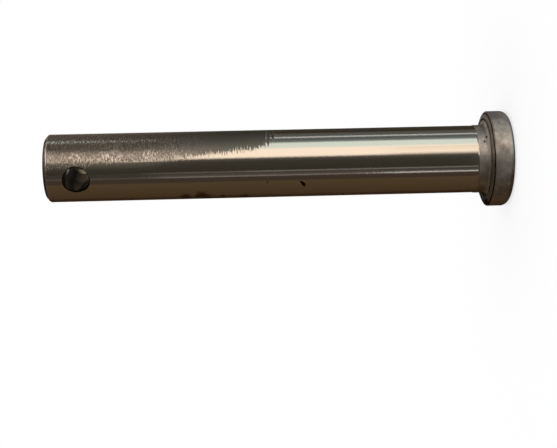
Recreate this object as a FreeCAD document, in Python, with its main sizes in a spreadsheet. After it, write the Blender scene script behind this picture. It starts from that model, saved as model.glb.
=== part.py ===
import FreeCAD, Part
import math
import os
import Sketcher

# A headed pin with a cross hole for a cotter, turned from one bar of steel.
# It stands on the end face of its head: the origin is the middle of that face, +Z runs
# along the shank to the tip, and the cross hole runs along Y. Sizes are in millimetres.

NODE = "headed_pin"

SIZES = (
    ("shank_diameter", 12.0, "ground diameter of the shank"),
    ("shank_length", 78.0, "underside of the head to the tip"),
    ("head_overhang", 2.5, "how far the head stands out past the shank, all round"),
    ("head_thickness", 4.0, "end face of the head to its underside"),
    ("head_edge_radius", 1.2, "rounding between the rim and the end face"),
    ("bearing_ring_width", 0.5, "flat ring of the underside, outside the neck fillet"),
    ("relief_rise", 0.4, "how far the underside slopes back between that ring and the rim"),
    ("relief_corner_radius", 0.3, "rounding where that slope meets the rim"),
    ("neck_length", 2.1, "collar under the head that the grinding wheel doesn't reach"),
    ("grinding_stock", 0.07, "how far that collar stands proud of the ground shank"),
    ("runout_length", 0.15, "slope between the ground shank and the collar"),
    ("neck_fillet_radius", 0.9, "fillet between the collar and the underside"),
    ("tip_chamfer_length", 0.6, "tip chamfer, measured along the shank"),
    ("tip_chamfer_depth", 0.75, "tip chamfer, measured inwards"),
    ("tip_edge_radius", 0.4, "rounding where the tip chamfer meets the shank"),
    ("hole_diameter", 4.5, "bore of the cross hole"),
    ("hole_to_tip", 5.75, "middle of the cross hole to the tip"),
    ("hole_edge_break", 0.15, "rounding of both mouths of the cross hole"),
)

# The half section, as the radius and the height of each of its lines.
RADII = {
    "rim": "Sizes.shank_diameter / 2 + Sizes.head_overhang",
    "ring": "Sizes.shank_diameter / 2 + Sizes.grinding_stock"
            " + Sizes.neck_fillet_radius + Sizes.bearing_ring_width",
    "collar": "Sizes.shank_diameter / 2 + Sizes.grinding_stock",
    "shank": "Sizes.shank_diameter / 2",
    "tip": "Sizes.shank_diameter / 2 - Sizes.tip_chamfer_depth",
}
HEIGHTS = {
    "rim_end": "Sizes.head_thickness - Sizes.relief_rise",
    "underside": "Sizes.head_thickness",
    "collar_end": "Sizes.head_thickness + Sizes.neck_length - Sizes.runout_length",
    "ground_start": "Sizes.head_thickness + Sizes.neck_length",
    "chamfer_start": "Sizes.head_thickness + Sizes.shank_length - Sizes.tip_chamfer_length",
    "tip": "Sizes.head_thickness + Sizes.shank_length",
}
HOLE_HEIGHT = "Sizes.head_thickness + Sizes.shank_length - Sizes.hole_to_tip"
AXIS = None
END_FACE = None
SECTION = (
    (AXIS, END_FACE),
    ("rim", END_FACE),
    ("rim", "rim_end"),
    ("ring", "underside"),
    ("collar", "underside"),
    ("collar", "collar_end"),
    ("shank", "ground_start"),
    ("shank", "chamfer_start"),
    ("tip", "tip"),
    (AXIS, "tip"),
)

# How sketches name their own origin, horizontal axis and vertical axis.
SKETCH_ORIGIN = (-1, 1)
SKETCH_HORIZONTAL = -1
SKETCH_VERTICAL = -2
LINE_START = 1
LINE_END = 2
CIRCLE_CENTRE = 3

# Two points closer than this are the same point.
NEAR = 1e-4
# Enough points round a mouth to tell its edge from any other.
MOUTH_SAMPLES = 9


def make_sheet(doc):
    """Put every driving size in one sheet, each in a cell with its name as alias."""
    sheet = doc.addObject("Spreadsheet::Sheet", "Sizes")
    for row, (alias, value, meaning) in enumerate(SIZES, start=1):
        sheet.set(f"A{row}", meaning)
        sheet.set(f"B{row}", str(value))
        sheet.setAlias(f"B{row}", alias)
    doc.recompute()
    return sheet


def origin_plane(body, role):
    """Return the body's own origin plane that has this role."""
    for feature in body.Origin.OriginFeatures:
        if feature.Role == role:
            return feature
    raise RuntimeError(f"{body.Name} has no {role}")


def add_sketch(body, name, role):
    """Start a sketch on one of the body's origin planes."""
    sketch = body.newObject("Sketcher::SketchObject", name)
    sketch.AttachmentSupport = [(origin_plane(body, role), "")]
    sketch.MapMode = "FlatFace"
    return sketch


def add_size(sketch, kind, point, name, expression):
    """Measure a point from the sketch's origin and bind that size to the sheet."""
    start = sketch.getPoint(*point)
    current = start.x if kind == "DistanceX" else start.y
    index = sketch.addConstraint(Sketcher.Constraint(kind, *SKETCH_ORIGIN, *point, current))
    sketch.renameConstraint(index, name)
    sketch.setExpression(f"Constraints.{name}", expression)


def evaluate(body, expression):
    """Work out an expression of the sheet."""
    return float(body.evalExpression(expression))


def draw_section(body, sketch):
    """Draw the closed half section, level and upright lines as such, each size given once."""
    corners = []
    for radius, height in SECTION:
        across = evaluate(body, RADII[radius]) if radius else 0.0
        up = evaluate(body, HEIGHTS[height]) if height else 0.0
        corners.append(FreeCAD.Vector(across, up, 0))
    lines = []
    for start, end in zip(corners, corners[1:] + corners[:1]):
        lines.append(sketch.addGeometry(Part.LineSegment(start, end)))
    for line, following in zip(lines, lines[1:] + lines[:1]):
        joint = Sketcher.Constraint("Coincident", line, LINE_END, following, LINE_START)
        sketch.addConstraint(joint)

    sized = set()
    previous = (AXIS, "tip")
    for line, (radius, height) in zip(lines, SECTION):
        point = (line, LINE_START)
        if radius is AXIS:
            on_axis = Sketcher.Constraint("PointOnObject", *point, SKETCH_VERTICAL)
            sketch.addConstraint(on_axis)
        elif radius == previous[0]:
            sketch.addConstraint(Sketcher.Constraint("Vertical", line - 1))
        elif radius not in sized:
            add_size(sketch, "DistanceX", point, f"{radius}_radius", RADII[radius])
            sized.add(radius)
        if height is END_FACE:
            on_face = Sketcher.Constraint("PointOnObject", *point, SKETCH_HORIZONTAL)
            sketch.addConstraint(on_face)
        elif height == previous[1]:
            sketch.addConstraint(Sketcher.Constraint("Horizontal", line - 1))
        else:
            add_size(sketch, "DistanceY", point, f"{height}_height", HEIGHTS[height])
        previous = (radius, height)


def turn_blank(doc, body):
    """Revolve the half section into the pin's blank, with the chamfers and no roundings."""
    sketch = add_sketch(body, "HalfSection", "XZ_Plane")
    draw_section(body, sketch)
    blank = body.newObject("PartDesign::Revolution", "Blank")
    blank.Profile = sketch
    blank.ReferenceAxis = (sketch, ["V_Axis"])
    blank.Angle = 360
    doc.recompute()
    return blank


def drill_cross_hole(doc, body):
    """Cut the cross hole right through the shank, along Y."""
    sketch = add_sketch(body, "HoleCircle", "XZ_Plane")
    centre = FreeCAD.Vector(0, evaluate(body, HOLE_HEIGHT), 0)
    radius = evaluate(body, "Sizes.hole_diameter / 2")
    circle = sketch.addGeometry(Part.Circle(centre, FreeCAD.Vector(0, 0, 1), radius))
    on_axis = Sketcher.Constraint("PointOnObject", circle, CIRCLE_CENTRE, SKETCH_VERTICAL)
    sketch.addConstraint(on_axis)
    add_size(sketch, "DistanceY", (circle, CIRCLE_CENTRE), "hole_height", HOLE_HEIGHT)
    size = sketch.addConstraint(Sketcher.Constraint("Diameter", circle, 2 * radius))
    sketch.renameConstraint(size, "hole_diameter")
    sketch.setExpression("Constraints.hole_diameter", "Sizes.hole_diameter")

    before = body.Shape.Volume
    hole = body.newObject("PartDesign::Pocket", "CrossHole")
    hole.Profile = sketch
    hole.Type = "ThroughAll"
    hole.Midplane = True
    doc.recompute()
    if not hole.Shape.Volume < before - NEAR:
        raise RuntimeError("the cross hole cut nothing")
    return hole


def ring_edge(body, radius, height):
    """Name the edge that runs round the pin's axis at this radius and height."""
    across = evaluate(body, RADII[radius])
    up = evaluate(body, HEIGHTS[height]) if height else 0.0
    for number, edge in enumerate(body.Shape.Edges, start=1):
        if not isinstance(edge.Curve, Part.Circle):
            continue
        centre = edge.Curve.Center
        on_axis = math.hypot(centre.x, centre.y) < NEAR
        if on_axis and abs(centre.z - up) < NEAR and abs(edge.Curve.Radius - across) < NEAR:
            return [f"Edge{number}"]
    raise RuntimeError(f"no edge at radius {across} and height {up}")


def mouth_edges(body):
    """Name the closed edges where the cross hole comes out of the shank."""
    shank = evaluate(body, RADII["shank"])
    hole = evaluate(body, "Sizes.hole_diameter / 2")
    middle = evaluate(body, HOLE_HEIGHT)
    names = []
    for number, edge in enumerate(body.Shape.Edges, start=1):
        points = edge.discretize(Number=MOUTH_SAMPLES)
        on_shank = all(abs(math.hypot(p.x, p.y) - shank) < NEAR for p in points)
        on_hole = all(abs(math.hypot(p.x, p.z - middle) - hole) < NEAR for p in points)
        if on_shank and on_hole:
            names.append(f"Edge{number}")
    if not names:
        raise RuntimeError("the cross hole has no mouth")
    return names


def round_edges(doc, body, name, edges, size):
    """Round the named edges of the body's last feature with a size of the sheet."""
    previous = body.Tip
    fillet = body.newObject("PartDesign::Fillet", name)
    fillet.Base = (previous, edges)
    fillet.setExpression("Radius", f"Sizes.{size}")
    doc.recompute()
    return fillet


def make_pin(doc):
    """Turn, drill and deburr the pin."""
    body = doc.addObject("PartDesign::Body", "Pin")
    body.Label = NODE
    turn_blank(doc, body)
    drill_cross_hole(doc, body)
    round_edges(doc, body, "NeckFillet", ring_edge(body, "collar", "underside"), "neck_fillet_radius")
    round_edges(doc, body, "ReliefCorner", ring_edge(body, "rim", "rim_end"), "relief_corner_radius")
    round_edges(doc, body, "HeadEdge", ring_edge(body, "rim", END_FACE), "head_edge_radius")
    round_edges(doc, body, "TipEdge", ring_edge(body, "shank", "chamfer_start"), "tip_edge_radius")
    round_edges(doc, body, "HoleMouths", mouth_edges(body), "hole_edge_break")
    return body


def check(doc, body):
    """Stop if any object failed or the pin isn't one sound solid."""
    for item in doc.Objects:
        if "Invalid" in item.State or "Error" in item.State:
            raise RuntimeError(f"{item.Name} failed: {item.State}")
    shape = body.Shape
    if shape.isNull() or not shape.isValid() or len(shape.Solids) != 1:
        raise RuntimeError(f"{body.Label} isn't one sound solid")


def main():
    doc = FreeCAD.newDocument("HeadedPin")
    make_sheet(doc)
    body = make_pin(doc)
    doc.recompute()
    check(doc, body)
    os.makedirs("parts", exist_ok=True)
    body.Shape.exportStep(os.path.join("parts", f"{body.Label}.step"))
    box = body.Shape.optimalBoundingBox(False)
    size = f"{box.XLength:.2f} x {box.YLength:.2f} x {box.ZLength:.2f} mm"
    print(f"{body.Label}: {body.Shape.Volume:.1f} mm3, {size}")


main()
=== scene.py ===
import math

import bmesh
import bpy
from mathutils import Matrix, Vector


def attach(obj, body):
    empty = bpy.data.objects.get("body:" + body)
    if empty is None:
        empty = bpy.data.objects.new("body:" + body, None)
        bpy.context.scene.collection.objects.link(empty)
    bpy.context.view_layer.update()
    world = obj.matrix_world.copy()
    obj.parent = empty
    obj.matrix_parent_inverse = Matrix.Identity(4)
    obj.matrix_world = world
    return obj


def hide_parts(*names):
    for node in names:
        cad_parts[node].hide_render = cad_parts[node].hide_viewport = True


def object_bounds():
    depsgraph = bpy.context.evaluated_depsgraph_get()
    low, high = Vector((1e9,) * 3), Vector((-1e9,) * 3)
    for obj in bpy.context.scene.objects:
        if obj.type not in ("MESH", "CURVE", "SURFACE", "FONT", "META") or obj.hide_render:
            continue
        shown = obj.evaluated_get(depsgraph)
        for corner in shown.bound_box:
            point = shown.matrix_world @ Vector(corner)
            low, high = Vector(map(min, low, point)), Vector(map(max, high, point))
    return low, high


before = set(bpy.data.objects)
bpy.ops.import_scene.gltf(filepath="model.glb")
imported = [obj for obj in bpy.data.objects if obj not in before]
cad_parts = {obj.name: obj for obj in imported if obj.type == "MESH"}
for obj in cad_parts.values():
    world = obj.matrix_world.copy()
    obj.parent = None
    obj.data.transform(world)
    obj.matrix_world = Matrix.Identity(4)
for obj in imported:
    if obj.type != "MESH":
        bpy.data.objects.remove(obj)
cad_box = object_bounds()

# A headed pin turned from one bar of carbon steel, its shank ground and its tip drilled across.
# It stands on its head: the origin is the middle of the head's end face and +Z runs to the tip.
# An azimuth is measured in degrees round the pin, from the side that faces -Y towards +X.

bl_info = {
    "name": "Headed pin with a cross hole",
    "version": (1, 0, 0),
    "blender": (4, 5, 0),
    "location": "View3D > Sidebar > Headed pin",
    "description": "A ground steel pin with a head and a cross hole, on a pale studio floor",
    "category": "Object",
}

MM = 0.001
NODE = "headed_pin"
BODY = "root"

# Dents in the shank: the distance from the tip in mm, the azimuth, the depth in mm, and the
# outline as places along the shank and round it, in mm.
NICK = (45.1, -16.5, 0.24, ((0.58, 0.72), (0.2, 0.62), (-0.40, 0.20), (-0.50, -0.35),
                            (-0.34, -0.70), (0.10, -0.30)))
PIT = (38.9, -11.5, 0.14, ((0.17, 0.04), (0.03, 0.2), (-0.15, 0.1), (-0.14, -0.13), (0.06, -0.17)))
# Steps down a dent: the share of its depth, and the share of its outline that is left there.
DENT_STEPS = ((0, 1.0), (0.6, 0.55), (1, 0.08))
# Mouths of the cross hole: the depth below the shank's surface, and how much wider than the
# bore the hole is there, in mm.
HOLE_MOUTH = ((-1.2, 0.42), (-0.05, 0.21), (0.0, 0.16), (0.03, 0.10), (0.07, 0.05), (0.15, 0.012),
              (0.3, 0.0), (1.2, 0.0), (2.4, 0.0))

# Where the ground finish starts and ends: above the bearing ring and below the tip, in mm.
GROUND_START, GROUND_END = 2.02, 0.75
# The dulled patch on the shank: the azimuth of its middle, how far it reaches to each side in
# degrees, and how far from the tip, in mm, it starts to narrow and ends.
PATCH_AZIMUTH, PATCH_REACH, PATCH_NARROWS, PATCH_ENDS = 119.5, 84, 22, 40
# What is left of the worn steel's red, green and blue where the patch has no pits.
FAINT_SHARES = (0.34, 0.36, 0.35)
# Marks on the surfaces: each is an azimuth, a distance from the axis in mm, a height in mm and
# a radius in mm.
RUBBED_SPOTS = ((41, 6, 70.0, 2.0), (39, 6, 76.0, 1.3), (41, 6, 63.5, 1.2))
OIL_BLOTS = ((-44, 6, 54.5, 1.5), (-46, 6, 57.5, 1.1), (-49, 6, 47.3, 0.9), (-47, 6, 51.0, 0.9))
SMUDGES = ((55, 8.5, 3.3, 0.22), (41.5, 8.5, 3.3, 0.6), (35, 8.5, 2.4, 0.7), (30, 8.5, 1.6, 0.5),
           (-2, 8.5, 1.2, 0.8))
# Two small dabs of grease on the collar, and two large dark patches at -64 and -86 degrees that are
# painted shadow on the head's underside beside the shank.
GREASE_AND_SHADOW = ((58.5, 6.3, 4.6, 0.24), (51, 6.1, 4.9, 0.26), (-64, 7.9, 3.9, 2.2), (-86, 7.8, 3.9, 2.2))
# Bands ring the bore: painted shade near one mouth, two brown bands, and a painted highlight at its
# far end. Each entry says where along the bore, in mm, a colour starts to show and where it is full.
BORE_PAINTED_BANDS = ((-2.6, -1.6, "#0D0A05"), (-1.1, 0.0, "#5E4D2D"), (2.2, 3.2, "#40341E"),
              (3.3, 3.9, "#FFF4DC"))
# Colour of the painted shade on the head's underside and of its grease.
SHADE_AND_GREASE_COLOUR = "#2A2018"
# Colour of the painted shade at the bore's mouths.
MOUTH_SHADE = "#3A3020"
SWARF_DARK, SWARF_PALE = "#4C3D26", "#695739"

# The picture is 557 x 448 pixels, on Blender's usual sensor.
SENSOR_WIDTH = 36.0
LENS = 73.53
CAMERA_PLACE = Vector((74.468, -189.487, 48.757)) * MM
CAMERA_AIM = Vector((-9.869, -4.499, 41.172)) * MM
CAMERA_ROLL = math.radians(-91.423)

# What polished steel mirrors, as a photographer would set it round the pin.
SHADES = {
    "black cloth": "#2B2923", "dark cloth": "#33302A", "grey cloth": "#46423D",
    "brown cloth": "#362D26", "dim wall": "#554F47", "cool wall": "#4D5252",
    "grey wall": "#686C6B", "pale wall": "#82807C", "warm window": "#EBDAC9",
    "low window": "#DAC9B7", "cool window": "#C4CCC6", "dim window": "#B0A497",
    "lamp": "#A8A7A6", "dim lamp": "#67625F",
    "dark board": "#2B1E14", "board": "#382A1C", "pale board": "#463929",
}
# The cards stand in a ring. Each has the azimuths that it spans, its shades at both of them,
# and its lower and upper edge in mm, where EDGE is the window's upper edge at that azimuth.
# What lies below -62 mm is seen by the head's rim alone.
EDGE = None
LOWER, UPPER, FULL, RIM = (-62, EDGE), (EDGE, 300), (-300, 300), (-300, -62)
CARDS = (
    (-1.5, 30, "black cloth", "dark cloth", LOWER),
    (-1.5, 14, "black cloth", "dark cloth", UPPER),
    (14, 36, "dark cloth", "dim wall", UPPER),
    (30, 39.5, "dark cloth", "grey cloth", LOWER),
    (-1.5, 38, "dim wall", "grey wall", RIM),
    (39.5, 46, "grey cloth", "warm window", (-20, EDGE)),
    (39.5, 50, "grey cloth", "warm window", (-62, -20)),
    (46, 70, "warm window", "warm window", (-20, EDGE)),
    (50, 70, "warm window", "low window", (-62, -20)),
    (38, 72, "dim window", "low window", RIM),
    (70, 78, "warm window", "cool window", LOWER),
    (78, 92, "cool window", "cool window", LOWER),
    (92, 98, "cool window", "grey wall", LOWER),
    (72, 104, "low window", "pale wall", RIM),
    (98, 106, "grey wall", "cool wall", LOWER),
    (106, 115.5, "cool wall", "cool wall", LOWER),
    (115.5, 121.3, "lamp", "lamp", LOWER),
    (121.3, 142, "cool wall", "grey cloth", LOWER),
    (142, 192, "black cloth", "dark cloth", LOWER),
    (104, 192, "pale wall", "grey cloth", RIM),
    (36, 80, "low window", "low window", (165, 300)),
    (36, 60, "dim window", "dim window", (EDGE, 165)),
    (60, 80, "dim window", "dim wall", (EDGE, 165)),
    (80, 116.5, "dim wall", "dim wall", UPPER),
    (116.5, 121.5, "dim wall", "dim wall", (34, 102)),
    (116.5, 121.5, "cool window", "cool window", (102, 300)),
    (121.5, 166, "grey cloth", "grey cloth", (34, 102)),
    (121.5, 166, "dim wall", "dim wall", (102, 300)),
    (166, 192, "dim wall", "dim wall", UPPER),
    (194, 209, "lamp", "lamp", LOWER),
    (192, 209, "grey cloth", "grey cloth", UPPER),
    (209, 250, "dark board", "dark board", FULL),
    (250, 322, "board", "pale board", FULL),
    (322, 339.5, "brown cloth", "brown cloth", FULL),
    (339.5, 343.5, "lamp", "lamp", (-300, -15)),
    (339.5, 343.5, "dim lamp", "dim lamp", (-15, 80)),
    (339.5, 343.5, "grey cloth", "grey cloth", (80, 300)),
    (343.5, 355, "grey cloth", "dark cloth", (-62, 85)),
    (343.5, 358.5, "grey cloth", "grey cloth", RIM),
    (355, 358.5, "dim lamp", "dim lamp", (-62, 45)),
    (355, 358.5, "dim wall", "dim wall", (45, 85)),
    (343.5, 358.5, "dark cloth", "dark cloth", (85, 300)),
)
# The upper edge of the window and of the lamps, as azimuth and height in mm.
WINDOW_EDGE = ((-30, 85), (3, 85), (38, 80), (46, 70), (59, 57), (77, 45), (92, 39), (104, 36),
               (209, 34))
# Cloths close the ring above and below. Each stop is an azimuth and the shade at the rim there.
# A cloth's middle has one shade, which gives way to them between two shares of its radius.
ROOF = ((0, "dark cloth"), (35, "grey cloth"), (50, "dim window"), (85, "dim window"),
        (115, "dim wall"), (200, "dim wall"), (250, "board"), (320, "board"), (360, "dark cloth"))
ROOF_CENTRE, ROOF_BLEND = "black cloth", (0.45, 0.62)
GROUND = ((0, "dark cloth"), (30, "dim wall"), (48, "cool window"), (95, "cool window"),
          (125, "grey wall"), (190, "dark cloth"), (250, "dark board"), (320, "dark board"),
          (360, "dark cloth"))
GROUND_CENTRE, GROUND_BLEND = "grey cloth", (0.05, 0.3)
# A card close under the roof lights the fillet below the head and the chamfer at the tip. It
# has the azimuths that it spans, its shade, and its distances from the axis in mm.
CEILING_CARD = (112, 178, "warm window", (35, 165))
CEILING_GAP = 5 * MM
# The longest faces of a card and of a cloth, in degrees, and the share of its radius that is
# left open at a cloth's centre.
CARD_STEP, CLOTH_STEP, CLOTH_EYE = 2, 5, 0.001

# Settings that many nodes share.
SMOOTH = {"interpolation_type": "SMOOTHSTEP"}
TIMES = {"operation": "MULTIPLY"}
TIMES_PLUS = {"operation": "MULTIPLY_ADD"}
LARGER = {"operation": "MAXIMUM"}
CLOSE_TO = {"operation": "COMPARE"}
COLOURS = {"data_type": "RGBA"}


def linear(text):
    """Turn an sRGB hex colour into linear red, green and blue."""
    values = []
    for at in (1, 3, 5):
        share = int(text[at:at + 2], 16) / 255
        values.append(share / 12.92 if share <= 0.04045 else ((share + 0.055) / 1.055) ** 2.4)
    return tuple(values)


def opaque(colour, share=1.0):
    """This share of a linear colour, with full alpha."""
    return (*[value * share for value in colour], 1)


def add(tree, kind, settings=None, inputs=None, out=0):
    """Add a node with its settings and links, and give back one of its outputs, or the node."""
    made = tree.nodes.new(kind)
    for name, value in (settings or {}).items():
        setattr(made, name, value)
    for name, value in (inputs or {}).items():
        if isinstance(value, bpy.types.NodeSocket):
            tree.links.new(value, made.inputs[name])
        else:
            made.inputs[name].default_value = value
    return made if out is None else made.outputs[out]


class PinSizes(bpy.types.PropertyGroup):
    """The pin's own sizes, in metres."""

    shank_diameter: bpy.props.FloatProperty(
        name="Shank diameter", description="Ground diameter of the shank",
        default=12 * MM, unit="LENGTH", subtype="DISTANCE")
    head_diameter: bpy.props.FloatProperty(
        name="Head diameter", description="Diameter of the head's rim",
        default=cad_box[1][0] - cad_box[0][0], unit="LENGTH", subtype="DISTANCE")
    head_thickness: bpy.props.FloatProperty(
        name="Head thickness", description="End face to the bearing ring",
        default=4 * MM, unit="LENGTH", subtype="DISTANCE")
    length: bpy.props.FloatProperty(
        name="Length", description="End face of the head to the tip",
        default=cad_box[1][2] - cad_box[0][2], unit="LENGTH", subtype="DISTANCE")
    hole_diameter: bpy.props.FloatProperty(
        name="Hole diameter", description="Bore of the cross hole",
        default=4.5 * MM, unit="LENGTH", subtype="DISTANCE")
    hole_to_tip: bpy.props.FloatProperty(
        name="Hole to tip", description="Middle of the cross hole to the tip",
        default=5.75 * MM, unit="LENGTH", subtype="DISTANCE")
    steps_around: bpy.props.IntProperty(
        name="Steps around", description="Faces in one turn of the pin", default=288, min=24)


class PinFinish(bpy.types.PropertyGroup):
    """Colours of the pin's surfaces."""

    ground: bpy.props.FloatVectorProperty(
        name="Ground steel", description="Bright ground shank",
        default=linear("#C8C4BC"), subtype="COLOR", min=0, max=1)
    worn: bpy.props.FloatVectorProperty(
        name="Worn steel", description="Dulled side of the shank near the tip",
        default=linear("#C6BFB9"), subtype="COLOR", min=0, max=1)
    turned: bpy.props.FloatVectorProperty(
        name="Turned steel", description="Head and collar, as they left the lathe",
        default=linear("#C2BFBC"), subtype="COLOR", min=0, max=1)
    stain: bpy.props.FloatVectorProperty(
        name="Stain", description="Brown film of old oil and rust",
        default=linear("#5A4630"), subtype="COLOR", min=0, max=1)


class StageSizes(bpy.types.PropertyGroup):
    """The studio round the pin."""

    card_distance: bpy.props.FloatProperty(
        name="Card distance", description="Radius of the ring of cards",
        default=0.3, unit="LENGTH", subtype="DISTANCE")
    card_strength: bpy.props.FloatProperty(
        name="Card strength", description="How brightly the cards are lit", default=2.0, min=0)
    floor_width: bpy.props.FloatProperty(
        name="Floor width", description="Side of the square floor",
        default=4.0, unit="LENGTH", subtype="DISTANCE")
    paper_grey: bpy.props.FloatProperty(
        name="Paper grey", description="How much of the light the floor's paper gives back",
        default=0.3, min=0, max=1, subtype="FACTOR")
    lamp_strength: bpy.props.FloatProperty(
        name="Lamp strength", description="Of the soft lamp overhead", default=1.26, min=0)
    lamp_angle: bpy.props.FloatProperty(
        name="Lamp angle", description="How wide the soft lamp overhead looks",
        default=math.radians(40), unit="ROTATION", subtype="ANGLE")
    sky_strength: bpy.props.FloatProperty(
        name="Sky strength", description="Of the light from all round", default=0.6, min=0)


# Half section

def rounded(corners, steps=8):
    """Round the corners of a line in the plane: each is its place and its radius."""
    points = []
    for index, (place, radius) in enumerate(corners):
        place = Vector(place)
        if not radius:
            points.append(place)
            continue
        back = (Vector(corners[index - 1][0]) - place).normalized()
        ahead = (Vector(corners[index + 1][0]) - place).normalized()
        half = back.angle(ahead) / 2
        centre = place + (back + ahead).normalized() * (radius / math.sin(half))
        first = place + back * (radius / math.tan(half)) - centre
        last = place + ahead * (radius / math.tan(half)) - centre
        sweep = first.angle(last)
        for step in range(steps + 1):
            share = step / steps
            turned = first * math.sin((1 - share) * sweep) + last * math.sin(share * sweep)
            points.append(centre + turned / math.sin(sweep))
    return points


def divided(points, longest):
    """Break long runs of a line so that no piece of it is longer than this."""
    line = [points[0]]
    for start, end in zip(points, points[1:]):
        count = max(1, math.ceil((end - start).length / longest))
        line += [start.lerp(end, step / count) for step in range(1, count + 1)]
    return line


def half_section(sizes):
    """The pin's half section, as radius and height in metres, from head to tip."""
    grinding_stock, fillet, bearing_ring = 0.07 * MM, 0.9 * MM, 0.5 * MM
    relief_rise, neck, runout = 0.4 * MM, 2.1 * MM, 0.15 * MM
    chamfer_length, chamfer_depth = 0.6 * MM, 0.75 * MM
    line_depth, line_inner, line_outer = 0.07 * MM, 0.07 * MM, 0.09 * MM
    longest_face = 1.2 * MM

    shank = sizes.shank_diameter / 2
    rim = sizes.head_diameter / 2
    under = sizes.head_thickness
    tip = sizes.length
    collar = shank + grinding_stock
    ring = collar + fillet + bearing_ring
    tool_line = collar + fillet + 0.1 * MM
    corners = (
        ((0, 0), 0),
        ((rim, 0), 1.2 * MM),
        ((rim, under - relief_rise), 0.3 * MM),
        ((ring, under), 0.06 * MM),
        # A thin line that the turning tool left between the fillet and the bearing ring.
        ((tool_line + line_outer, under), 0.02 * MM),
        ((tool_line, under - line_depth), 0.02 * MM),
        ((tool_line - line_inner, under), 0.01 * MM),
        ((collar, under), 0.85 * MM),
        ((collar, under + neck - runout), 0.08 * MM),
        ((shank, under + neck), 0.08 * MM),
        ((shank, tip - chamfer_length), 0.4 * MM),
        ((shank - chamfer_depth, tip), 0.12 * MM),
        ((0, tip), 0),
    )
    return divided(rounded(corners), longest_face)


# Cutters

def tube(name, rings, material):
    """A closed mesh through rings of points, for cutting."""
    work = bmesh.new()
    loops = [[work.verts.new(point) for point in ring] for ring in rings]
    for low, high in zip(loops, loops[1:]):
        for index in range(len(low)):
            after = (index + 1) % len(low)
            work.faces.new((low[index], low[after], high[after], high[index]))
    work.faces.new(loops[0][::-1])
    work.faces.new(loops[-1])
    bmesh.ops.recalc_face_normals(work, faces=work.faces)
    mesh = bpy.data.meshes.new(name)
    work.to_mesh(mesh)
    work.free()
    mesh.materials.append(material)
    made = bpy.data.objects.new(name, mesh)
    bpy.context.scene.collection.objects.link(made)
    return made


def hole_cutter(sizes, material, corners=120):
    """The cross hole along Y, opened a little at both mouths, where the drill broke out a burr."""
    shank = sizes.shank_diameter / 2
    height = sizes.length - sizes.hole_to_tip
    middle = (0, 0, 0)
    stations = [(-1, deep, wide) for deep, wide in HOLE_MOUTH] + [middle]
    stations += [(1, deep, wide) for deep, wide in reversed(HOLE_MOUTH)]
    rings = []
    for side, deep, wide in stations:
        ring = []
        for step in range(corners):
            angle = math.tau * step / corners
            # Three waves round the mouth leave its edge a little uneven.
            ragged = (0.35 * math.sin(3 * angle + 1.1) + 0.25 * math.sin(7 * angle + side)
                      + 0.2 * math.sin(13 * angle + 2.3))
            radius = sizes.hole_diameter / 2 + wide * MM * (1 + 0.5 * ragged)
            across = radius * math.cos(angle)
            along = math.sqrt(shank ** 2 - across ** 2) - deep * MM
            ring.append((across, side * along, height + radius * math.sin(angle)))
        rings.append(ring)
    return tube("Cutter_hole", rings, material)


def dent_cutter(name, sizes, dent, material):
    """A pointed cutter for one dent in the shank, which starts a little outside it."""
    from_tip, azimuth, depth, outline = dent
    outside, flare = 0.12 * MM, 1.15
    shank = sizes.shank_diameter / 2
    levels = [(outside, flare)] + [(-share * depth * MM, left) for share, left in DENT_STEPS]
    rings = []
    for level, left in levels:
        ring = []
        for along, round_it in outline:
            angle = math.radians(azimuth) + left * round_it * MM / shank
            radius = shank + level
            ring.append((radius * math.sin(angle), -radius * math.cos(angle),
                         sizes.length - from_tip * MM + left * along * MM))
        rings.append(ring)
    return tube(name, rings, material)


# Materials

def new_material(name):
    """A material with nothing in it yet."""
    made = bpy.data.materials.new(name)
    made.use_nodes = True
    made.node_tree.nodes.clear()
    return made, made.node_tree


def object_place(tree):
    """Object coordinates, and the same split into X, Y and Z."""
    place = add(tree, "ShaderNodeTexCoord", out="Object")
    return place, add(tree, "ShaderNodeSeparateXYZ", inputs={0: place}, out=None).outputs


def from_axis(tree, place):
    """Distance from the pin's axis."""
    flat = add(tree, "ShaderNodeVectorMath", TIMES, {0: place, 1: (1, 1, 0)})
    return add(tree, "ShaderNodeVectorMath", {"operation": "LENGTH"}, {0: flat}, "Value")


def streaks(tree, place, across, along, detail=2.0, roughness=0.55):
    """Noise drawn out round the pin: the width of its grain along the axis and its length round
    the pin are given in mm."""
    grain = (1 / (along * MM), 1 / (along * MM), 1 / (across * MM))
    scaled = add(tree, "ShaderNodeVectorMath", TIMES, {0: place, 1: grain})
    return add(tree, "ShaderNodeTexNoise", {},
               {"Vector": scaled, "Scale": 1.0, "Detail": detail, "Roughness": roughness})


def around(azimuth, radius, height):
    """A point, given by its azimuth, its distance from the axis and its height."""
    angle = math.radians(azimuth)
    return Vector((radius * math.sin(angle), -radius * math.cos(angle), height))


def spots(tree, place, marks):
    """1 inside the given marks and 0 outside."""
    total = 0.0
    for azimuth, distance, height, radius in marks:
        gap = add(tree, "ShaderNodeVectorMath", {"operation": "DISTANCE"},
                  {0: place, 1: around(azimuth, distance, height) * MM}, "Value")
        inside = add(tree, "ShaderNodeMapRange", SMOOTH,
                     {"Value": gap, "From Min": radius * MM * 1.3, "From Max": radius * MM * 0.5})
        total = add(tree, "ShaderNodeMath", LARGER, {0: total, 1: inside})
    return total


def wander(tree, place, size):
    """Object coordinates moved about by up to half this many mm, to give a spot a torn edge."""
    noise = add(tree, "ShaderNodeTexNoise", {},
                {"Vector": place, "Scale": 1 / (1.111 * MM), "Detail": 3.0}, "Color")
    shift = add(tree, "ShaderNodeVectorMath", TIMES_PLUS,
                {0: noise, 1: (size * MM,) * 3, 2: (-0.5 * size * MM,) * 3})
    return add(tree, "ShaderNodeVectorMath", {"operation": "ADD"}, {0: place, 1: shift})


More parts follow.
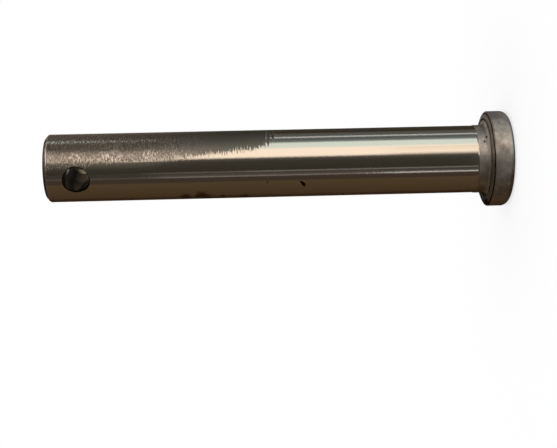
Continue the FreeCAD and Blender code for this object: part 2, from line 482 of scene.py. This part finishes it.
def lay_tangent(tree, place):
    """The direction round the pin's axis, in which every tool mark runs."""
    return add(tree, "ShaderNodeVectorMath", {"operation": "CROSS_PRODUCT"},
               {0: (0, 0, 1), 1: place})


def worn_patch(tree, place, height, drift, tip):
    """1 in the dulled patch of the shank and 0 outside. Its edge is torn along the grinding
    marks, and its end breaks up into rings."""
    turned = add(tree, "ShaderNodeVectorRotate", {"rotation_type": "Z_AXIS"},
                 {"Vector": place, "Angle": math.radians(-PATCH_AZIMUTH)})
    parts = add(tree, "ShaderNodeSeparateXYZ", inputs={0: turned}, out=None).outputs
    facing = add(tree, "ShaderNodeMath", TIMES, {0: parts["Y"], 1: -1.0})
    angle = add(tree, "ShaderNodeMath", {"operation": "ARCTAN2"}, {0: parts["X"], 1: facing})
    share = add(tree, "ShaderNodeMath", {"operation": "DIVIDE"},
                {0: angle, 1: math.radians(PATCH_REACH)})
    side = add(tree, "ShaderNodeMath", TIMES, {0: share, 1: share})

    # Rings 0.45 mm wide move its end by some 2 mm, and a slow drift by 1 mm.
    rings = streaks(tree, place, 0.45, 8.0)
    moved = add(tree, "ShaderNodeMath", TIMES_PLUS, {0: drift, 1: 3.0 * MM, 2: height})
    moved = add(tree, "ShaderNodeMath", TIMES_PLUS, {0: rings, 1: 7.0 * MM, 2: moved})
    moved = add(tree, "ShaderNodeMath", {"operation": "SUBTRACT"}, {0: moved, 1: 5.0 * MM})
    reach = add(tree, "ShaderNodeMapRange", {"clamp": False},
                {"Value": moved, "From Min": tip - PATCH_NARROWS * MM,
                 "From Max": tip - PATCH_ENDS * MM})
    slope = add(tree, "ShaderNodeMath", TIMES_PLUS, {0: reach, 1: 0.3, 2: side})
    near = add(tree, "ShaderNodeMath", LARGER, {0: reach, 1: 0.0})
    end = add(tree, "ShaderNodeMath", {"operation": "POWER"}, {0: near, 1: 16.0})
    edge = add(tree, "ShaderNodeMath", TIMES_PLUS, {0: end, 1: 0.6, 2: slope})

    # The comb along its edge has teeth 0.2 mm wide.
    comb = streaks(tree, place, 0.20, 1.4, 3.0)
    ragged = add(tree, "ShaderNodeMath", TIMES_PLUS, {0: comb, 1: 0.78, 2: edge})
    return add(tree, "ShaderNodeMapRange", SMOOTH,
               {"Value": ragged, "From Min": 1.40, "From Max": 1.34})


def oil_film(tree, place, across, shank):
    """Share of the brown film, in blotches 5.9 mm long on the side that lay down."""
    blotch = streaks(tree, place, 5.882, 2.381, 3.0, 0.6)
    low = add(tree, "ShaderNodeMapRange", {},
              {"Value": across, "From Min": -0.6 * shank, "From Max": -shank})
    film = add(tree, "ShaderNodeMapRange", SMOOTH,
               {"Value": blotch, "From Min": 0.50, "From Max": 0.70})
    film = add(tree, "ShaderNodeMath", TIMES, {0: film, 1: low})
    blots = spots(tree, wander(tree, place, 1.6), OIL_BLOTS)
    film = add(tree, "ShaderNodeMath", LARGER, {0: film, 1: blots})
    return add(tree, "ShaderNodeMath", TIMES, {0: film, 1: 0.85})


def ground_steel(finish, sizes):
    """Carbon steel, ground between wheels: mirror bright round the shank, with fine marks that
    run round it. One side is dulled and scored near the tip, and old oil has left a brown film."""
    made, tree = new_material("Ground_carbon_steel")
    place, split = object_place(tree)
    tip, under = sizes.length, sizes.head_thickness
    drift = add(tree, "ShaderNodeTexNoise", {}, {"Vector": place, "Scale": 1 / (3.846 * MM)})
    patch = worn_patch(tree, place, split["Z"], drift, tip)

    # Pits and scores in the patch, 0.25 mm wide and short round the pin. They are dark and deep
    # within 16 mm of the tip, and more than 32 mm from it only shallow scores are left.
    grit = streaks(tree, place, 0.25, 0.6)
    heavy = add(tree, "ShaderNodeMapRange", SMOOTH,
                {"Value": split["Z"], "From Min": tip - 32 * MM, "From Max": tip - 16 * MM})
    specks = add(tree, "ShaderNodeMapRange", SMOOTH,
                 {"Value": grit, "From Min": 0.40, "From Max": 0.66})
    specks = add(tree, "ShaderNodeMath", TIMES, {0: specks, 1: heavy})
    faint = [value * share for value, share in zip(finish.worn, FAINT_SHARES)]
    soot = add(tree, "ShaderNodeMix", COLOURS,
               {"Factor": heavy, "A": opaque(faint), "B": opaque(finish.worn, 0.50)}, 2)

    # Bare steel shines between the pits, most of all where holes have rubbed it.
    cluster = add(tree, "ShaderNodeMapRange", SMOOTH,
                  {"Value": drift, "From Min": 0.42, "From Max": 0.56})
    rubbed_and_highlight = spots(tree, wander(tree, place, 1.2), RUBBED_SPOTS)
    cluster = add(tree, "ShaderNodeMath", TIMES_PLUS, {0: cluster, 1: 0.3, 2: rubbed_and_highlight})
    bare = add(tree, "ShaderNodeMix", COLOURS,
               {"Factor": cluster, "A": opaque(finish.worn, 0.9), "B": opaque(finish.worn, 1.5)}, 2)
    dull = add(tree, "ShaderNodeMix", COLOURS, {"Factor": specks, "A": soot, "B": bare}, 2)
    colour = add(tree, "ShaderNodeMix", COLOURS,
                 {"Factor": patch, "A": opaque(finish.ground), "B": dull}, 2)
    film = oil_film(tree, place, split["X"], sizes.shank_diameter / 2)
    colour = add(tree, "ShaderNodeMix", COLOURS,
                 {"Factor": film, "A": colour, "B": opaque(finish.stain)}, 2)

    # The pits are rough, and what stands between them is as smooth as the ground steel. Where
    # the patch has no pits it is evenly dull.
    deep = add(tree, "ShaderNodeMapRange", SMOOTH,
               {"Value": drift, "From Min": 0.40, "From Max": 0.60, "To Min": 0.30, "To Max": 0.20})
    worn = add(tree, "ShaderNodeMapRange", SMOOTH,
               {"Value": grit, "From Min": 0.42, "From Max": 0.62, "To Min": deep, "To Max": 0.08})
    worn = add(tree, "ShaderNodeMix", {}, {"Factor": heavy, "A": 0.40, "B": worn})
    rough = add(tree, "ShaderNodeMapRange", {}, {"Value": patch, "To Min": 0.09, "To Max": worn})
    rough = add(tree, "ShaderNodeMath", TIMES_PLUS, {0: film, 1: 0.2, 2: rough})

    # Grinding marks 0.25 mm apart: real ones are finer, but these are as fine as the picture
    # shows. They fade beside the collar, where the wheel dwelt at the end of its stroke.
    stroke = add(tree, "ShaderNodeMapRange", SMOOTH,
                 {"Value": split["Z"], "From Min": under + 3 * MM, "From Max": under + 10 * MM})
    lay = add(tree, "ShaderNodeMath", TIMES, {0: streaks(tree, place, 0.25, 5.0), 1: stroke})
    marks = add(tree, "ShaderNodeBump", {}, {"Height": lay, "Distance": 0.0022 * MM})
    ripple = add(tree, "ShaderNodeMath", TIMES, {0: streaks(tree, place, 0.35, 0.7), 1: stroke})
    marks = add(tree, "ShaderNodeBump", {},
                {"Height": ripple, "Distance": 0.007 * MM, "Normal": marks})
    scored = add(tree, "ShaderNodeMath", TIMES_PLUS, {0: heavy, 1: 0.5, 2: 0.5})
    scored = add(tree, "ShaderNodeMath", TIMES, {0: scored, 1: patch})
    scored = add(tree, "ShaderNodeMath", TIMES, {0: grit, 1: scored})
    marks = add(tree, "ShaderNodeBump", {},
                {"Height": scored, "Distance": 0.036 * MM, "Normal": marks})
    shader = add(tree, "ShaderNodeBsdfPrincipled", {},
                 {"Base Color": colour, "Metallic": 1.0, "Roughness": rough, "Normal": marks,
                  "Anisotropic": 0.4, "Tangent": lay_tangent(tree, place)})
    add(tree, "ShaderNodeOutputMaterial", {}, {"Surface": shader}, None)
    return made


def underside_shade_and_grease(tree, torn, split, radius, sizes):
    """Share of the painted shade in the tool's line beside the fillet and where the underside meets
    the rim, and of the dabs of grease, the large ones of which are painted shadow."""
    line = sizes.shank_diameter / 2 + 1.07 * MM
    rim = sizes.head_diameter / 2
    underside = sizes.head_thickness - 0.6 * MM
    tool_line = add(tree, "ShaderNodeMath", CLOSE_TO, {0: radius, 1: line, 2: 0.15 * MM})
    # The painted shade at the rim lies further in on the side that faces +X.
    where = add(tree, "ShaderNodeMapRange", SMOOTH,
                {"Value": split["X"], "From Min": 4.2 * MM, "From Max": 5.6 * MM,
                 "To Min": rim - 0.23 * MM, "To Max": rim - 0.4 * MM})
    corner = add(tree, "ShaderNodeMath", CLOSE_TO, {0: radius, 1: where, 2: 0.14 * MM})
    grease_and_shadow = spots(tree, torn, GREASE_AND_SHADOW)
    above = add(tree, "ShaderNodeMath", LARGER, {0: corner, 1: grease_and_shadow})
    upper = add(tree, "ShaderNodeMath", {"operation": "GREATER_THAN"}, {0: split["Z"], 1: underside})
    above = add(tree, "ShaderNodeMath", TIMES, {0: above, 1: upper})
    return add(tree, "ShaderNodeMath", LARGER, {0: tool_line, 1: above})


def turned_steel(finish, sizes):
    """Carbon steel as it left the lathe: satin and a little mottled, with feed marks that run
    round the pin on its rim, its collar and its faces, and darker smudges from handling."""
    made, tree = new_material("Turned_carbon_steel")
    place, split = object_place(tree)
    radius = from_axis(tree, place)
    outline = add(tree, "ShaderNodeCombineXYZ", {}, {0: radius, 1: split["Z"], 2: 0.0})
    mottle = add(tree, "ShaderNodeTexNoise", {},
                 {"Vector": place, "Scale": 1 / (2.174 * MM), "Detail": 5.0, "Roughness": 0.7})
    shade = add(tree, "ShaderNodeMapRange", {},
                {"Value": mottle, "From Min": 0.38, "From Max": 0.64,
                 "To Min": 0.62, "To Max": 1.06})
    # A painted highlight makes a band round the fillet brighter than the rest.
    fillet = (sizes.shank_diameter / 2 + 0.6 * MM, sizes.head_thickness + 0.3 * MM, 0)
    fillet_highlight = add(tree, "ShaderNodeVectorMath", {"operation": "DISTANCE"},
               {0: outline, 1: fillet}, "Value")
    fillet_highlight = add(tree, "ShaderNodeMapRange", SMOOTH,
               {"Value": fillet_highlight, "From Min": 0.42 * MM, "From Max": 0.2 * MM,
                "To Min": 1.0, "To Max": 1.7})
    shade = add(tree, "ShaderNodeMath", TIMES, {0: shade, 1: fillet_highlight})
    # Painted shade darkens the chamfer at the tip, and a painted highlight brightens the edge behind
    # it.
    tip = add(tree, "ShaderNodeMapRange", SMOOTH,
              {"Value": split["Z"], "From Min": sizes.length - 0.58 * MM,
               "From Max": sizes.length - 0.4 * MM, "To Min": 1.0, "To Max": 0.3})
    shade = add(tree, "ShaderNodeMath", TIMES, {0: shade, 1: tip})
    rubbed_and_highlight = add(tree, "ShaderNodeMath", CLOSE_TO,
                 {0: split["Z"], 1: sizes.length - 0.66 * MM, 2: 0.11 * MM})
    shade = add(tree, "ShaderNodeMath", TIMES_PLUS, {0: rubbed_and_highlight, 1: 0.8, 2: shade})
    tint = add(tree, "ShaderNodeVectorMath", {"operation": "SCALE"},
               {0: tuple(finish.turned), "Scale": shade})

    torn = wander(tree, place, 1.0)
    smudge = spots(tree, torn, SMUDGES)
    smudge = add(tree, "ShaderNodeMath", TIMES, {0: smudge, 1: 0.30})
    colour = add(tree, "ShaderNodeMix", COLOURS,
                 {"Factor": smudge, "A": tint, "B": opaque(finish.stain)}, 2)
    # Painted shade and grease darken the head's underside.
    shade_and_grease = underside_shade_and_grease(tree, torn, split, radius, sizes)
    colour = add(tree, "ShaderNodeMix", COLOURS,
                 {"Factor": shade_and_grease, "A": colour, "B": opaque(linear(SHADE_AND_GREASE_COLOUR))}, 2)

    rough = add(tree, "ShaderNodeMapRange", {},
                {"Value": mottle, "From Min": 0.35, "From Max": 0.68,
                 "To Min": 0.46, "To Max": 0.38})
    rough = add(tree, "ShaderNodeMath", TIMES_PLUS, {0: rubbed_and_highlight, 1: -0.2, 2: rough})
    # Feed marks 0.28 mm apart: real ones are finer, but these are as fine as the picture shows.
    feed = add(tree, "ShaderNodeTexNoise", {},
               {"Vector": outline, "Scale": 1 / (0.28 * MM), "Detail": 2.0})
    marks = add(tree, "ShaderNodeBump", {}, {"Height": feed, "Distance": 0.006 * MM})
    marks = add(tree, "ShaderNodeBump", {},
                {"Height": mottle, "Distance": 0.02 * MM, "Normal": marks})
    shader = add(tree, "ShaderNodeBsdfPrincipled", {},
                 {"Base Color": colour, "Metallic": 1.0, "Roughness": rough, "Normal": marks,
                  "Anisotropic": 0.4, "Tangent": lay_tangent(tree, place)})
    add(tree, "ShaderNodeOutputMaterial", {}, {"Surface": shader}, None)
    return made


def drilled_steel(sizes):
    """Carbon steel, drilled and left alone: dark brown, with drill marks 0.25 mm apart that run
    round the hole, bands of painted shade and a painted highlight along the bore, and painted shade
    at its mouths and in its half towards the tip."""
    made, tree = new_material("Drilled_carbon_steel")
    place, split = object_place(tree)
    shank = sizes.shank_diameter / 2
    middle = sizes.length - sizes.hole_to_tip
    breadth, pitch = 3.333 * MM, 0.25 * MM
    scaled = add(tree, "ShaderNodeVectorMath", TIMES,
                 {0: place, 1: (1 / breadth, 1 / pitch, 1 / breadth)})
    feed = add(tree, "ShaderNodeTexNoise", {}, {"Vector": scaled, "Scale": 1.0, "Detail": 3.0})
    shade = add(tree, "ShaderNodeMapRange", {}, {"Value": feed, "From Min": 0.35, "From Max": 0.7})
    colour = add(tree, "ShaderNodeMix", COLOURS,
                 {"Factor": shade, "A": opaque(linear(SWARF_DARK)),
                  "B": opaque(linear(SWARF_PALE))}, 2)

    # The bands lean over, and the drill marks break their edges.
    below = add(tree, "ShaderNodeMath", {"operation": "SUBTRACT"}, {0: middle, 1: split["Z"]})
    along = add(tree, "ShaderNodeMath", TIMES_PLUS, {0: feed, 1: 1.2 * MM, 2: split["Y"]})
    along = add(tree, "ShaderNodeMath", TIMES_PLUS, {0: below, 1: 0.7, 2: along})
    # Painted shade and a painted highlight ring the bore in these bands.
    for start, end, band in BORE_PAINTED_BANDS:
        share = add(tree, "ShaderNodeMapRange", SMOOTH,
                    {"Value": along, "From Min": start * MM, "From Max": end * MM})
        colour = add(tree, "ShaderNodeMix", COLOURS,
                     {"Factor": share, "A": colour, "B": opaque(linear(band))}, 2)
    # Painted shade darkens the half towards the tip.
    side = add(tree, "ShaderNodeMapRange", SMOOTH,
               {"Value": split["Z"], "From Min": middle + 0.15 * MM,
                "From Max": middle + 1.35 * MM, "To Min": 1.0, "To Max": 0.22})
    colour = add(tree, "ShaderNodeVectorMath", {"operation": "SCALE"}, {0: colour, "Scale": side})
    # Painted shade darkens the bore near both mouths.
    mouth = add(tree, "ShaderNodeMapRange", SMOOTH,
                {"Value": from_axis(tree, place), "From Min": shank - 0.95 * MM,
                 "From Max": shank - 0.45 * MM})
    colour = add(tree, "ShaderNodeMix", COLOURS,
                 {"Factor": mouth, "A": colour, "B": opaque(linear(MOUTH_SHADE))}, 2)
    marks = add(tree, "ShaderNodeBump", {}, {"Height": feed, "Distance": 0.012 * MM})
    shader = add(tree, "ShaderNodeBsdfPrincipled", {},
                 {"Base Color": colour, "Metallic": 1.0, "Roughness": 0.22, "Normal": marks})
    add(tree, "ShaderNodeOutputMaterial", {}, {"Surface": shader}, None)
    return made


# Pin

def pin_tree():
    """Revolve the half section, cut the hole and the dents, and give each surface its finish."""
    tree = bpy.data.node_groups.new("Revolved_pin", "GeometryNodeTree")
    sockets = (("Half Section", "NodeSocketGeometry"), ("Steps Around", "NodeSocketInt"),
               ("Path Radius", "NodeSocketFloat"), ("Weld Distance", "NodeSocketFloat"),
               ("Cross Hole", "NodeSocketObject"), ("Nick", "NodeSocketObject"),
               ("Pit", "NodeSocketObject"), ("Ground From", "NodeSocketFloat"),
               ("Ground To", "NodeSocketFloat"), ("Ground Steel", "NodeSocketMaterial"),
               ("Turned Steel", "NodeSocketMaterial"), ("Drilled Steel", "NodeSocketMaterial"))
    for name, kind in sockets:
        tree.interface.new_socket(name, in_out="INPUT", socket_type=kind)
    tree.interface.new_socket("Pin", in_out="OUTPUT", socket_type="NodeSocketGeometry")
    given = add(tree, "NodeGroupInput", out=None).outputs
    line = add(tree, "GeometryNodeMeshToCurve", {}, {"Mesh": given["Half Section"]})
    path = add(tree, "GeometryNodeCurvePrimitiveCircle", {},
               {"Resolution": given["Steps Around"], "Radius": given["Path Radius"]})
    turned = add(tree, "GeometryNodeCurveToMesh", {}, {"Curve": path, "Profile Curve": line})
    blank = add(tree, "GeometryNodeMergeByDistance", {},
                {"Geometry": turned, "Distance": given["Weld Distance"]})

    cut = add(tree, "GeometryNodeMeshBoolean", {"operation": "DIFFERENCE", "solver": "EXACT"},
              {"Mesh 1": blank}, None)
    for name in ("Cross Hole", "Nick", "Pit"):
        cutter = add(tree, "GeometryNodeObjectInfo", {}, {"Object": given[name]}, "Geometry")
        cutter = add(tree, "GeometryNodeStoreNamedAttribute",
                     {"data_type": "BOOLEAN", "domain": "FACE"},
                     {"Geometry": cutter, "Name": "cut", "Value": True})
        tree.links.new(cutter, cut.inputs["Mesh 2"])

    height = add(tree, "ShaderNodeSeparateXYZ", {},
                 {0: add(tree, "GeometryNodeInputPosition")}, "Z")
    above = add(tree, "FunctionNodeCompare", {"operation": "GREATER_THAN"},
                {"A": height, "B": given["Ground From"]})
    below = add(tree, "FunctionNodeCompare", {"operation": "LESS_THAN"},
                {"A": height, "B": given["Ground To"]})
    shank = add(tree, "FunctionNodeBooleanMath", {"operation": "AND"}, {0: above, 1: below})
    inside = add(tree, "GeometryNodeInputNamedAttribute", {"data_type": "BOOLEAN"}, {"Name": "cut"})
    result = add(tree, "GeometryNodeRealizeInstances", {}, {"Geometry": cut.outputs["Mesh"]})
    for material, selection in (("Turned Steel", True), ("Ground Steel", shank),
                                ("Drilled Steel", inside)):
        result = add(tree, "GeometryNodeSetMaterial", {},
                     {"Geometry": result, "Material": given[material], "Selection": selection})
    add(tree, "NodeGroupOutput", {}, {"Pin": result}, None)
    return tree


def set_inputs(modifier, values):
    """Fill a Geometry Nodes modifier by the identifier of each named input."""
    for item in modifier.node_group.interface.items_tree:
        if item.in_out == "INPUT" and item.name in values:
            modifier[item.identifier] = values[item.name]


def round_normals(mesh, radius, material_name):
    """Shade the ground shank as a true cylinder, also beside the hole and the dents."""
    crease, near = math.radians(28), 0.002 * MM
    mesh.set_sharp_from_angle(angle=crease)
    index = mesh.materials.find(material_name)
    normals = [Vector(corner.vector) for corner in mesh.corner_normals]
    for face in mesh.polygons:
        places = [mesh.vertices[v].co for v in face.vertices]
        if face.material_index != index:
            continue
        if any(abs(place.xy.length - radius) > near for place in places):
            continue
        for loop, place in zip(face.loop_indices, places):
            normals[loop] = Vector((place.x, place.y, 0)).normalized()
    mesh.normals_split_custom_set(normals)


def closed_mesh(mesh, weld):
    """Weld the points that the cuts left doubled, turn the normals out, and refuse a hole."""
    work = bmesh.new()
    work.from_mesh(mesh)
    bmesh.ops.remove_doubles(work, verts=work.verts, dist=weld)
    bmesh.ops.recalc_face_normals(work, faces=work.faces)
    open_edges = sum(1 for edge in work.edges if not edge.is_manifold)
    work.to_mesh(mesh)
    work.free()
    if open_edges:
        raise RuntimeError(f"the pin has {open_edges} open edges")


class PIN_OT_make_pin(bpy.types.Operator):
    """Make the pin: revolve its half section, drill it, dent it and give it its steel"""

    bl_idname = "headed_pin.make_pin"
    bl_label = "Make the pin"

    def execute(self, context):
        sizes = context.scene.pin_sizes
        finish = context.scene.pin_finish
        ground = ground_steel(finish, sizes)
        turned = turned_steel(finish, sizes)
        drilled = drilled_steel(sizes)
        shank = sizes.shank_diameter / 2
        weld = 0.001 * MM

        # A profile is carried round its path with its own height pointing down.
        section = [Vector((p.x - shank, -p.y, 0)) for p in half_section(sizes)]
        mesh = bpy.data.meshes.new("Half_section")
        mesh.from_pydata(section, [(i, i + 1) for i in range(len(section) - 1)], [])
        line = bpy.data.objects.new("Half_section", mesh)
        context.scene.collection.objects.link(line)
        hole = hole_cutter(sizes, drilled)
        nick = dent_cutter("Cutter_nick", sizes, NICK, drilled)
        pit = dent_cutter("Cutter_pit", sizes, PIT, drilled)

        modifier = line.modifiers.new("Pin", "NODES")
        modifier.node_group = pin_tree()
        set_inputs(modifier, {
            "Steps Around": sizes.steps_around, "Path Radius": shank, "Weld Distance": weld,
            "Cross Hole": hole, "Nick": nick, "Pit": pit,
            "Ground From": sizes.head_thickness + GROUND_START * MM,
            "Ground To": sizes.length - GROUND_END * MM,
            "Ground Steel": ground, "Turned Steel": turned, "Drilled Steel": drilled})
        graph = context.evaluated_depsgraph_get()
        made = bpy.data.meshes.new_from_object(line.evaluated_get(graph))
        if len(made.polygons) < sizes.steps_around:
            raise RuntimeError("the half section wasn't revolved")
        for helper in (line, hole, nick, pit):
            bpy.data.objects.remove(helper)

        closed_mesh(made, weld / 2)
        made.shade_smooth()
        made.attributes.remove(made.attributes["cut"])
        round_normals(made, shank, ground.name)
        pin = bpy.data.objects.new("pin", made)
        context.scene.collection.objects.link(pin)
        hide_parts(NODE)
        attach(pin, BODY)
        return {"FINISHED"}


# Stage

def edge_height(azimuth):
    """Height of the window's upper edge at this azimuth, in metres."""
    for (start, low), (end, high) in zip(WINDOW_EDGE, WINDOW_EDGE[1:]):
        if start <= azimuth <= end:
            return (low + (high - low) * (azimuth - start) / (end - start)) * MM
    raise ValueError(f"the window has no edge at {azimuth} degrees")


def card_shader(strength):
    """A card that only reflections see, lit by the colours painted on it."""
    made, tree = new_material("Studio_card")
    colour = add(tree, "ShaderNodeAttribute", {"attribute_name": "glow"}, {}, "Color")
    light = add(tree, "ShaderNodeEmission", {}, {"Color": colour, "Strength": strength})
    add(tree, "ShaderNodeOutputMaterial", {}, {"Surface": light}, None)
    return made


def painted_mesh(name, faces, material):
    """A mesh of four-sided faces, each with a colour at every corner."""
    mesh = bpy.data.meshes.new(name)
    points = [point for corners in faces for point, colour in corners]
    mesh.from_pydata(points, [], [tuple(range(4 * i, 4 * i + 4)) for i in range(len(faces))])
    glow = mesh.color_attributes.new("glow", "FLOAT_COLOR", "CORNER")
    colours = [colour for corners in faces for point, colour in corners]
    for index, colour in enumerate(colours):
        glow.data[index].color = (*colour, 1.0)
    mesh.materials.append(material)
    made = bpy.data.objects.new(name, mesh)
    bpy.context.scene.collection.objects.link(made)
    for way in ("camera", "diffuse", "shadow", "transmission", "volume_scatter"):
        setattr(made, f"visible_{way}", False)


def shares(start, end, step):
    """Azimuths from start to end in equal steps, no longer than this, each with its share of
    the way."""
    count = max(1, math.ceil((end - start) / step))
    return [(start + (end - start) * index / count, index / count) for index in range(count + 1)]


def card_faces(card, radius):
    """Faces of one card, side by side."""
    start, end, first, last, reach = card
    first, last = Vector(linear(SHADES[first])), Vector(linear(SHADES[last]))
    sides = []
    for azimuth, share in shares(start, end, CARD_STEP):
        colour = first.lerp(last, share)
        levels = [edge_height(azimuth) if level is EDGE else level * MM for level in reach]
        sides.append([(around(azimuth, radius, level), colour) for level in levels])
    return [(a, c, d, b) for (a, b), (c, d) in zip(sides, sides[1:])]


def cloth_faces(stops, centre, blend, radius, height):
    """Faces of a round cloth, from its centre to its rim."""
    middle = Vector(linear(SHADES[centre]))
    levels = (CLOTH_EYE, *blend, 1.0)
    faces = []
    for (start, first), (end, last) in zip(stops, stops[1:]):
        first, last = Vector(linear(SHADES[first])), Vector(linear(SHADES[last]))
        sides = []
        for azimuth, share in shares(start, end, CLOTH_STEP):
            colour = first.lerp(last, share)
            sides.append([(around(azimuth, radius * level, height), shade)
                          for level, shade in zip(levels, (middle, middle, colour, colour))])
        for left, right in zip(sides, sides[1:]):
            faces += [(left[i], right[i], right[i + 1], left[i + 1])
                      for i in range(len(levels) - 1)]
    return faces


def ceiling_face(card, height):
    """The one face of a flat card, at this height."""
    start, end, shade, (near, far) = card
    colour = Vector(linear(SHADES[shade]))
    return tuple((around(azimuth, distance * MM, height), colour)
                 for azimuth, distance in ((start, near), (end, near), (end, far), (start, far)))


def seen_plainly(tree):
    """1 where the camera sees a thing, straight, by reflection or through glass, and 0 where
    the thing only lights others."""
    seen = add(tree, "ShaderNodeLightPath", out=None).outputs
    plain = add(tree, "ShaderNodeMath", LARGER,
                {0: seen["Is Camera Ray"], 1: seen["Is Glossy Ray"]})
    return add(tree, "ShaderNodeMath", LARGER, {0: plain, 1: seen["Is Transmission Ray"]})


def white_paper(grey):
    """Matt paper: what its grey lacks of white, it is given where the camera sees it."""
    made, tree = new_material("White_paper")
    paper = add(tree, "ShaderNodeBsdfDiffuse", {}, {"Color": (grey, grey, grey, 1.0)})
    lift = add(tree, "ShaderNodeMath", TIMES, {0: seen_plainly(tree), 1: 1 - grey})
    glow = add(tree, "ShaderNodeEmission", {}, {"Strength": lift})
    both = add(tree, "ShaderNodeAddShader", {}, {0: paper, 1: glow})
    add(tree, "ShaderNodeOutputMaterial", {}, {"Surface": both}, None)
    return made


def white_world(strength):
    """A white background that gives only this much light."""
    world = bpy.data.worlds.new("Studio")
    world.use_nodes = True
    tree = world.node_tree
    tree.nodes.clear()
    level = add(tree, "ShaderNodeMapRange", {},
                {"Value": seen_plainly(tree), "To Min": strength, "To Max": 1.0})
    light = add(tree, "ShaderNodeBackground", {}, {"Color": (1, 1, 1, 1), "Strength": level})
    add(tree, "ShaderNodeOutputWorld", {}, {"Surface": light}, None)
    return world


def floor_object(width, material):
    """The square floor under the pin, which polished steel doesn't mirror."""
    half = width / 2
    mesh = bpy.data.meshes.new("Stage_floor")
    mesh.from_pydata([(-half, -half, 0), (half, -half, 0), (half, half, 0), (-half, half, 0)],
                     [], [(0, 1, 2, 3)])
    mesh.materials.append(material)
    floor = bpy.data.objects.new("Stage_floor", mesh)
    bpy.context.scene.collection.objects.link(floor)
    floor.visible_glossy = False


def camera_object():
    """The camera, set where the picture was taken from."""
    camera = bpy.data.cameras.new("Camera")
    camera.sensor_width = SENSOR_WIDTH
    camera.lens = LENS
    camera.clip_start = 0.01
    camera.dof.use_dof = False
    made = bpy.data.objects.new("Camera", camera)
    back = (CAMERA_PLACE - CAMERA_AIM).normalized()
    right = Vector((0, 0, 1)).cross(back).normalized()
    up = back.cross(right)
    turn = Matrix((right, up, back)).transposed() @ Matrix.Rotation(CAMERA_ROLL, 3, "Z")
    made.matrix_world = Matrix.Translation(CAMERA_PLACE) @ turn.to_4x4()
    bpy.context.scene.collection.objects.link(made)
    return made


class PIN_OT_set_stage(bpy.types.Operator):
    """Set the floor, the cards, the lamp, the white background and the camera"""

    bl_idname = "headed_pin.set_stage"
    bl_label = "Set the stage"

    def execute(self, context):
        stage = context.scene.stage_sizes
        scene = context.scene
        reach = stage.card_distance
        shader = card_shader(stage.card_strength)
        cards = [face for card in CARDS for face in card_faces(card, reach)]
        painted_mesh("Stage_cards", cards, shader)
        cloths = cloth_faces(ROOF, ROOF_CENTRE, ROOF_BLEND, reach, reach)
        cloths += cloth_faces(GROUND, GROUND_CENTRE, GROUND_BLEND, reach, -reach)
        cloths.append(ceiling_face(CEILING_CARD, reach - CEILING_GAP))
        painted_mesh("Stage_cloths", cloths, shader)
        floor_object(stage.floor_width, white_paper(stage.paper_grey))
        scene.world = white_world(stage.sky_strength)

        lamp = bpy.data.lights.new("Lamp_overhead", "SUN")
        lamp.energy = stage.lamp_strength
        lamp.angle = stage.lamp_angle
        overhead = bpy.data.objects.new("Lamp_overhead", lamp)
        overhead.visible_glossy = False
        scene.collection.objects.link(overhead)

        scene.camera = camera_object()
        scene.view_settings.view_transform = "Standard"
        return {"FINISHED"}


class PIN_PT_panel(bpy.types.Panel):
    """What makes the pin and its stage"""

    bl_label = "Headed pin"
    bl_idname = "PIN_PT_panel"
    bl_space_type = "VIEW_3D"
    bl_region_type = "UI"
    bl_category = "Headed pin"

    def draw(self, context):
        for group in (context.scene.pin_sizes, context.scene.pin_finish, context.scene.stage_sizes):
            for name in group.__annotations__:
                self.layout.prop(group, name)
        for operator in (PIN_OT_make_pin, PIN_OT_set_stage):
            self.layout.operator(operator.bl_idname)


CLASSES = (PinSizes, PinFinish, StageSizes, PIN_OT_make_pin, PIN_OT_set_stage, PIN_PT_panel)
GROUPS = (("pin_sizes", PinSizes), ("pin_finish", PinFinish), ("stage_sizes", StageSizes))


def register():
    for kind in CLASSES:
        bpy.utils.register_class(kind)
    for name, kind in GROUPS:
        setattr(bpy.types.Scene, name, bpy.props.PointerProperty(type=kind))


def unregister():
    for name, kind in GROUPS:
        delattr(bpy.types.Scene, name)
    for kind in reversed(CLASSES):
        bpy.utils.unregister_class(kind)


def main():
    """Make everything in order."""
    register()
    bpy.ops.headed_pin.set_stage()
    bpy.ops.headed_pin.make_pin()


if __name__ == "__main__":
    main()
